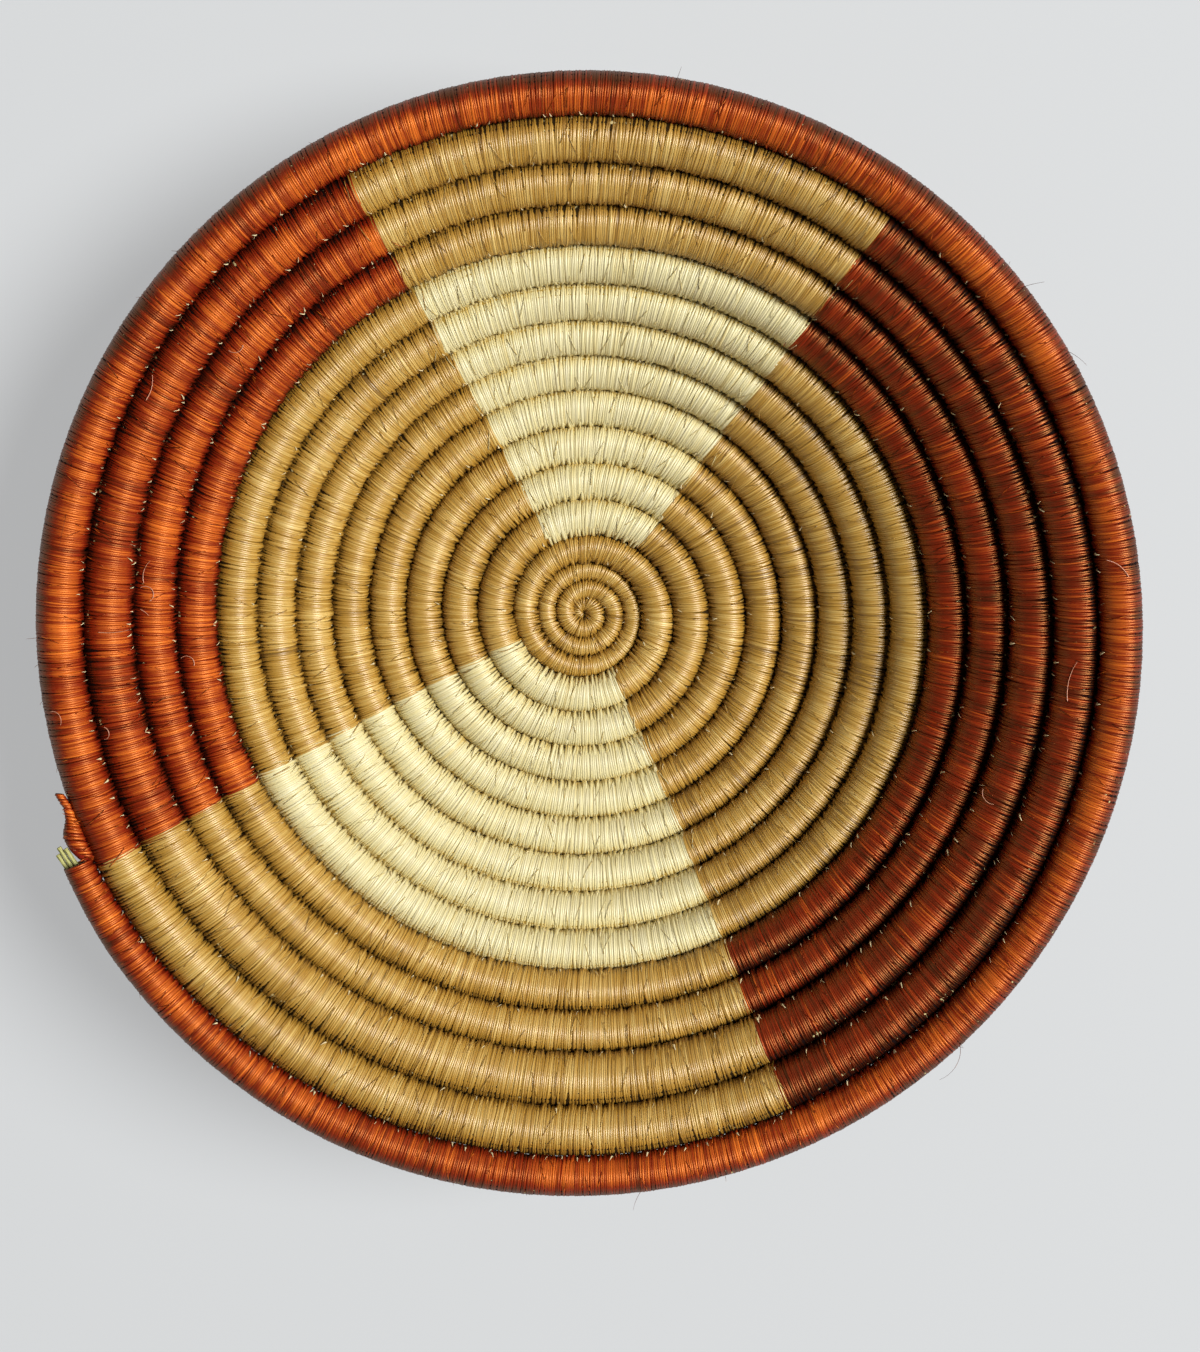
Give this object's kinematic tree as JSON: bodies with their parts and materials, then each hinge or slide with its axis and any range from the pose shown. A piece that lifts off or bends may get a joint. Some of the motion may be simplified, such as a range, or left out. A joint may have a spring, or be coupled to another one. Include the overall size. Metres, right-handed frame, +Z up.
{
  "type": "coiled basket bowl",
  "caption": "Shallow round bowl of coiled grass lashed with dyed sisal, with a sector pattern in cream, tan and rust, flat underneath",
  "frame": {"origin": "centre of the bowl's outline, on the surface that it stands on", "axes": "+Z up out of the bowl's mouth, +Y towards the middle of the top pattern sector, in which the colour changes nearest the start of each turn"},
  "size_m": [0.2938, 0.3004, 0.064],
  "materials": {
    "rust_sisal": "dyed sisal thread, satin",
    "tan_sisal": "dyed sisal thread, satin",
    "cream_sisal": "bleached sisal thread, satin",
    "cut_grass": "dry grass stems, matt"
  },
  "bodies": {
    "root": {"grass_core": "cut_grass", "bottom_cream_wrap_1": "cream_sisal", "bottom_cream_wrap_2": "cream_sisal", "bottom_cream_wrap_3": "cream_sisal", "bottom_cream_wrap_4": "cream_sisal", "bottom_cream_wrap_5": "cream_sisal", "bottom_cream_wrap_6": "cream_sisal", "bottom_cream_wrap_7": "cream_sisal", "bottom_cream_wrap_8": "cream_sisal", "bottom_tan_wrap_1": "tan_sisal", "bottom_tan_wrap_2": "tan_sisal", "bottom_tan_wrap_3": "tan_sisal", "bottom_tan_wrap_4": "tan_sisal", "centre_tan_wrap": "tan_sisal", "cut_grass_stem_1": "cut_grass", "cut_grass_stem_2": "cut_grass", "cut_grass_stem_3": "cut_grass", "left_rust_wrap_1": "rust_sisal", "left_rust_wrap_2": "rust_sisal", "left_rust_wrap_3": "rust_sisal", "left_tan_wrap_1": "tan_sisal", "left_tan_wrap_2": "tan_sisal", "left_tan_wrap_3": "tan_sisal", "left_tan_wrap_4": "tan_sisal", "left_tan_wrap_5": "tan_sisal", "left_tan_wrap_6": "tan_sisal", "left_tan_wrap_7": "tan_sisal", "left_tan_wrap_8": "tan_sisal", "right_rust_wrap_1": "rust_sisal", "right_rust_wrap_2": "rust_sisal", "right_rust_wrap_3": "rust_sisal", "right_rust_wrap_4": "rust_sisal", "right_tan_wrap_1": "tan_sisal", "right_tan_wrap_2": "tan_sisal", "right_tan_wrap_3": "tan_sisal", "right_tan_wrap_4": "tan_sisal", "right_tan_wrap_5": "tan_sisal", "right_tan_wrap_6": "tan_sisal", "right_tan_wrap_7": "tan_sisal", "rim_rust_wrap": "rust_sisal", "sisal_twist_end": "rust_sisal", "tail_rust_wrap": "rust_sisal", "top_cream_wrap_1": "cream_sisal", "top_cream_wrap_2": "cream_sisal", "top_cream_wrap_3": "cream_sisal", "top_cream_wrap_4": "cream_sisal", "top_cream_wrap_5": "cream_sisal", "top_cream_wrap_6": "cream_sisal", "top_cream_wrap_7": "cream_sisal", "top_cream_wrap_8": "cream_sisal", "top_tan_wrap_1": "tan_sisal", "top_tan_wrap_2": "tan_sisal", "top_tan_wrap_3": "tan_sisal"}
  },
  "joints": []
}
